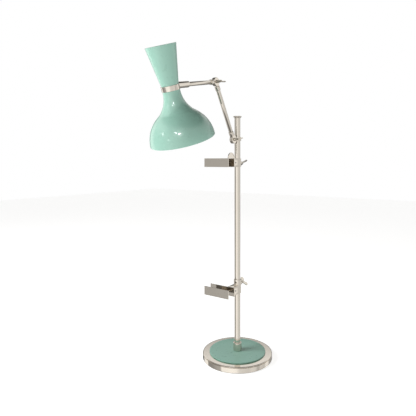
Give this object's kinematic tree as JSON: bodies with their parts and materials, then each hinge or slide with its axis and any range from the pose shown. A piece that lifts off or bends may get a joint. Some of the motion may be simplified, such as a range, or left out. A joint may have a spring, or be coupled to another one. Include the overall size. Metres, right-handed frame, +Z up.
{
  "type": "adjustable arm floor lamp",
  "caption": "Floor lamp with a weighted disc base, a tall pole with sliding picture-holder brackets, and a jointed arm carrying a tilted double-cone shade.",
  "frame": {"origin": "centre of the base's underside, on the pole's axis, at floor level", "axes": "+Z up along the pole; the arms reach towards -Y at rest; the bracket plates run along X, longer towards -X"},
  "size_m": [0.33, 0.7657, 1.3966],
  "materials": {
    "polished_nickel": "warm polished nickel plate, bright and slightly worn",
    "mint_lacquer": "gloss mint-green lacquer on spun metal",
    "base_lacquer": "gloss mint-green lacquer on the base's top disc",
    "cast_iron": "rough black-painted casting",
    "zinc_steel": "zinc-plated steel",
    "white_nylon": "matt white nylon",
    "dark_felt": "dark wool felt",
    "black_rubber": "matt black rubber",
    "black_bakelite": "black moulded plastic",
    "opal_glass": "opal white glass"
  },
  "bodies": {
    "stand": {"felt_pad": "dark_felt", "base_weight": "cast_iron", "base_shell": "polished_nickel", "base_disc": "base_lacquer", "cord_gland": "black_rubber", "pole_collar": "polished_nickel", "pole_tube": "polished_nickel", "pole_cap": "polished_nickel", "pole_foot_plug": "zinc_steel", "pole_stud": "zinc_steel", "stud_washer": "zinc_steel", "stud_nut": "zinc_steel"},
    "arm_carrier": {"arm_liner": "white_nylon"},
    "arm_yoke": {"arm_clamp": "polished_nickel", "arm_clamp_set_screw": "zinc_steel", "pole_joint_washer": "white_nylon"},
    "pole_joint_wing": {"pole_joint_wing_screw": "polished_nickel"},
    "lower_arm": {"lower_arm_bottom_eye": "polished_nickel", "lower_arm_tube": "polished_nickel", "lower_arm_top_eye": "polished_nickel"},
    "upper_arm": {"upper_arm_eye": "polished_nickel", "upper_arm_tube": "polished_nickel", "elbow_washer": "white_nylon"},
    "elbow_wing": {"elbow_wing_screw": "polished_nickel"},
    "shade": {"swivel_sleeve": "polished_nickel", "neck_band": "polished_nickel", "upper_shade": "mint_lacquer", "lower_shade": "mint_lacquer", "holder_plate": "zinc_steel", "holder_nipple": "zinc_steel", "lower_lampholder": "black_bakelite", "upper_lampholder": "black_bakelite", "lower_bulb": "opal_glass", "upper_bulb": "opal_glass"},
    "upper_bracket_carrier": {"upper_bracket_liner": "white_nylon"},
    "upper_bracket": {"upper_bracket_clamp": "polished_nickel", "upper_bracket_stem": "zinc_steel", "upper_bracket_back_plate": "polished_nickel", "upper_bracket_front_plate": "polished_nickel", "upper_bracket_arch": "polished_nickel", "upper_bracket_set_screw": "zinc_steel"},
    "upper_bracket_wing": {"upper_bracket_wing_screw": "polished_nickel"},
    "lower_bracket_carrier": {"lower_bracket_liner": "white_nylon"},
    "lower_bracket": {"lower_bracket_clamp": "polished_nickel", "lower_bracket_stem": "zinc_steel", "lower_bracket_back_plate": "polished_nickel", "lower_bracket_front_plate": "polished_nickel", "lower_bracket_ledge": "polished_nickel", "lower_bracket_set_screw": "zinc_steel"},
    "lower_bracket_wing": {"lower_bracket_wing_screw": "polished_nickel"}
  },
  "joints": [
    {"name": "arm_slide", "type": "slide", "parent": "stand", "child": "arm_carrier", "axis": [0, 0, 1], "range_m": [-0.02, 0.08]},
    {"name": "arm_swivel", "type": "hinge", "parent": "arm_carrier", "child": "arm_yoke", "pos_m": [0, 0, 1.043], "axis": [0, 0, 1], "range_deg": [-175, 175]},
    {"name": "lower_arm_tilt", "type": "hinge", "parent": "arm_yoke", "child": "lower_arm", "pos_m": [0, -0.0372, 1.043], "axis": [1, 0, 0], "range_deg": [-29, 35]},
    {"name": "pole_joint_wing_turn", "type": "hinge", "parent": "arm_yoke", "child": "pole_joint_wing", "pos_m": [0, -0.0372, 1.043], "axis": [1, 0, 0], "continuous": true},
    {"name": "elbow_tilt", "type": "hinge", "parent": "lower_arm", "child": "upper_arm", "pos_m": [0, -0.181, 1.2933], "axis": [1, 0, 0], "range_deg": [-45, 20]},
    {"name": "elbow_wing_turn", "type": "hinge", "parent": "upper_arm", "child": "elbow_wing", "pos_m": [0, -0.181, 1.2933], "axis": [1, 0, 0], "continuous": true},
    {"name": "shade_swivel", "type": "hinge", "parent": "upper_arm", "child": "shade", "pos_m": [0, -0.181, 1.2933], "axis": [0, -0.9799, -0.1994], "range_deg": [-150, 150]},
    {"name": "upper_bracket_slide", "type": "slide", "parent": "stand", "child": "upper_bracket_carrier", "axis": [0, 0, 1], "range_m": [-0.4, 0.015]},
    {"name": "upper_bracket_swivel", "type": "hinge", "parent": "upper_bracket_carrier", "child": "upper_bracket", "pos_m": [0, 0, 0.9333], "axis": [0, 0, 1], "range_deg": [-175, 175]},
    {"name": "upper_bracket_wing_turn", "type": "hinge", "parent": "upper_bracket", "child": "upper_bracket_wing", "pos_m": [0, 0.03, 0.9323], "axis": [0, 1, 0], "continuous": true},
    {"name": "lower_bracket_slide", "type": "slide", "parent": "stand", "child": "lower_bracket_carrier", "axis": [0, 0, 1], "range_m": [-0.2, 0.1]},
    {"name": "lower_bracket_swivel", "type": "hinge", "parent": "lower_bracket_carrier", "child": "lower_bracket", "pos_m": [0, 0, 0.3305], "axis": [0, 0, 1], "range_deg": [-175, 175]},
    {"name": "lower_bracket_wing_turn", "type": "hinge", "parent": "lower_bracket", "child": "lower_bracket_wing", "pos_m": [0, 0.03, 0.351], "axis": [0, 1, 0], "continuous": true}
  ]
}
